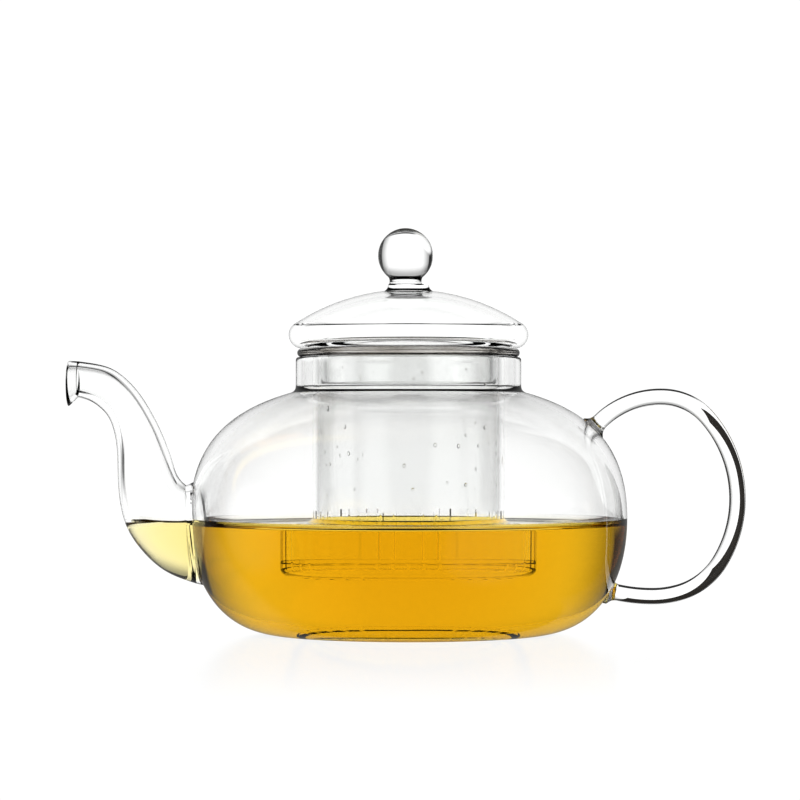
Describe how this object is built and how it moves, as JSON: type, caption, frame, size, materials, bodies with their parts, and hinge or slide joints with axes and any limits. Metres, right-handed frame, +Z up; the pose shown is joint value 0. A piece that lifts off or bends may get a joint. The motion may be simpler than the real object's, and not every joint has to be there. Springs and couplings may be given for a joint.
{
  "type": "glass teapot",
  "caption": "Round clear glass teapot with curved spout, bent rod handle, lift-out slotted glass infuser and a domed lid with ball knob.",
  "frame": {"origin": "centre of the flat underside of the base, on the pot's axis", "axes": "+Z up along the pot's axis, +X to the handle, -X to the spout, the spout and handle lie in the plane y = 0"},
  "size_m": [0.2323, 0.1496, 0.1387],
  "materials": {
    "blown_glass": "clear blown borosilicate, about 2 mm thick, fire polished",
    "infuser_glass": "clear tube borosilicate, fire polished edges",
    "rod_glass": "clear solid borosilicate rod, fire polished"
  },
  "bodies": {
    "pot": {"pot_belly": "blown_glass", "neck_collar": "blown_glass", "spout": "blown_glass", "spout_root_ring": "blown_glass", "spout_lip": "blown_glass", "handle": "rod_glass", "handle_upper_foot": "rod_glass", "handle_lower_foot": "rod_glass"},
    "infuser": {"infuser_rim": "infuser_glass", "infuser_tube": "infuser_glass", "infuser_base": "infuser_glass"},
    "lid": {"lid_dome": "blown_glass", "lid_skirt": "blown_glass", "lid_boss": "rod_glass", "knob_neck": "rod_glass", "lid_knob": "rod_glass"}
  },
  "joints": [
    {"name": "infuser_lift", "type": "slide", "parent": "pot", "child": "infuser", "axis": [0, 0, 1], "range_m": [0, 0.075]},
    {"name": "lid_lift", "type": "slide", "parent": "infuser", "child": "lid", "axis": [0, 0, 1], "range_m": [0, 0.04]}
  ]
}
